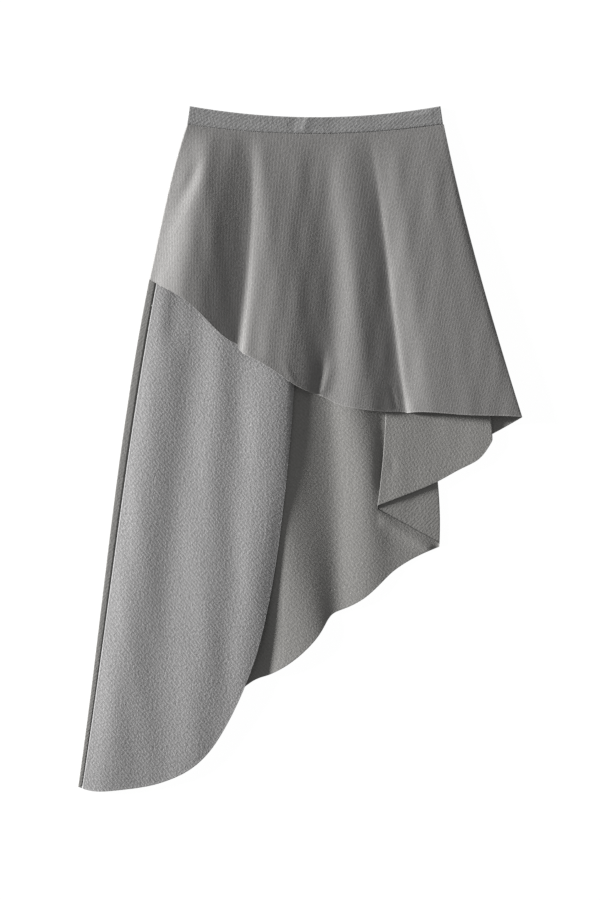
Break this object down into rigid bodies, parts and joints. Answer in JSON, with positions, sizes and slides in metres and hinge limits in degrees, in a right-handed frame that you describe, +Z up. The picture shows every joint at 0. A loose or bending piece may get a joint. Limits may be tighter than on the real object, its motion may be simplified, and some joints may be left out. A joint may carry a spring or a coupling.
{
  "type": "asymmetric midi skirt",
  "caption": "Asymmetric midi skirt laid flat: a waistband, a short fluted front overlay, a long rounded front panel and a back panel whose hem falls in a cascade of folds.",
  "frame": {"origin": "middle of the whole outline's box, on the surface that the skirt lies on", "axes": "+Z up off that surface, +Y from the hem to the waist, +X to the right as seen from above"},
  "size_m": [0.6039, 0.9313, 0.0192],
  "materials": {
    "panel_twill": "fine twill with a slight sheen",
    "band_twill": "fine twill, pressed flat"
  },
  "bodies": {
    "root": {"waistband_front": "band_twill", "waistband_back": "band_twill", "front_overlay": "panel_twill", "front_long_panel": "panel_twill", "back_panel": "panel_twill"}
  },
  "joints": []
}
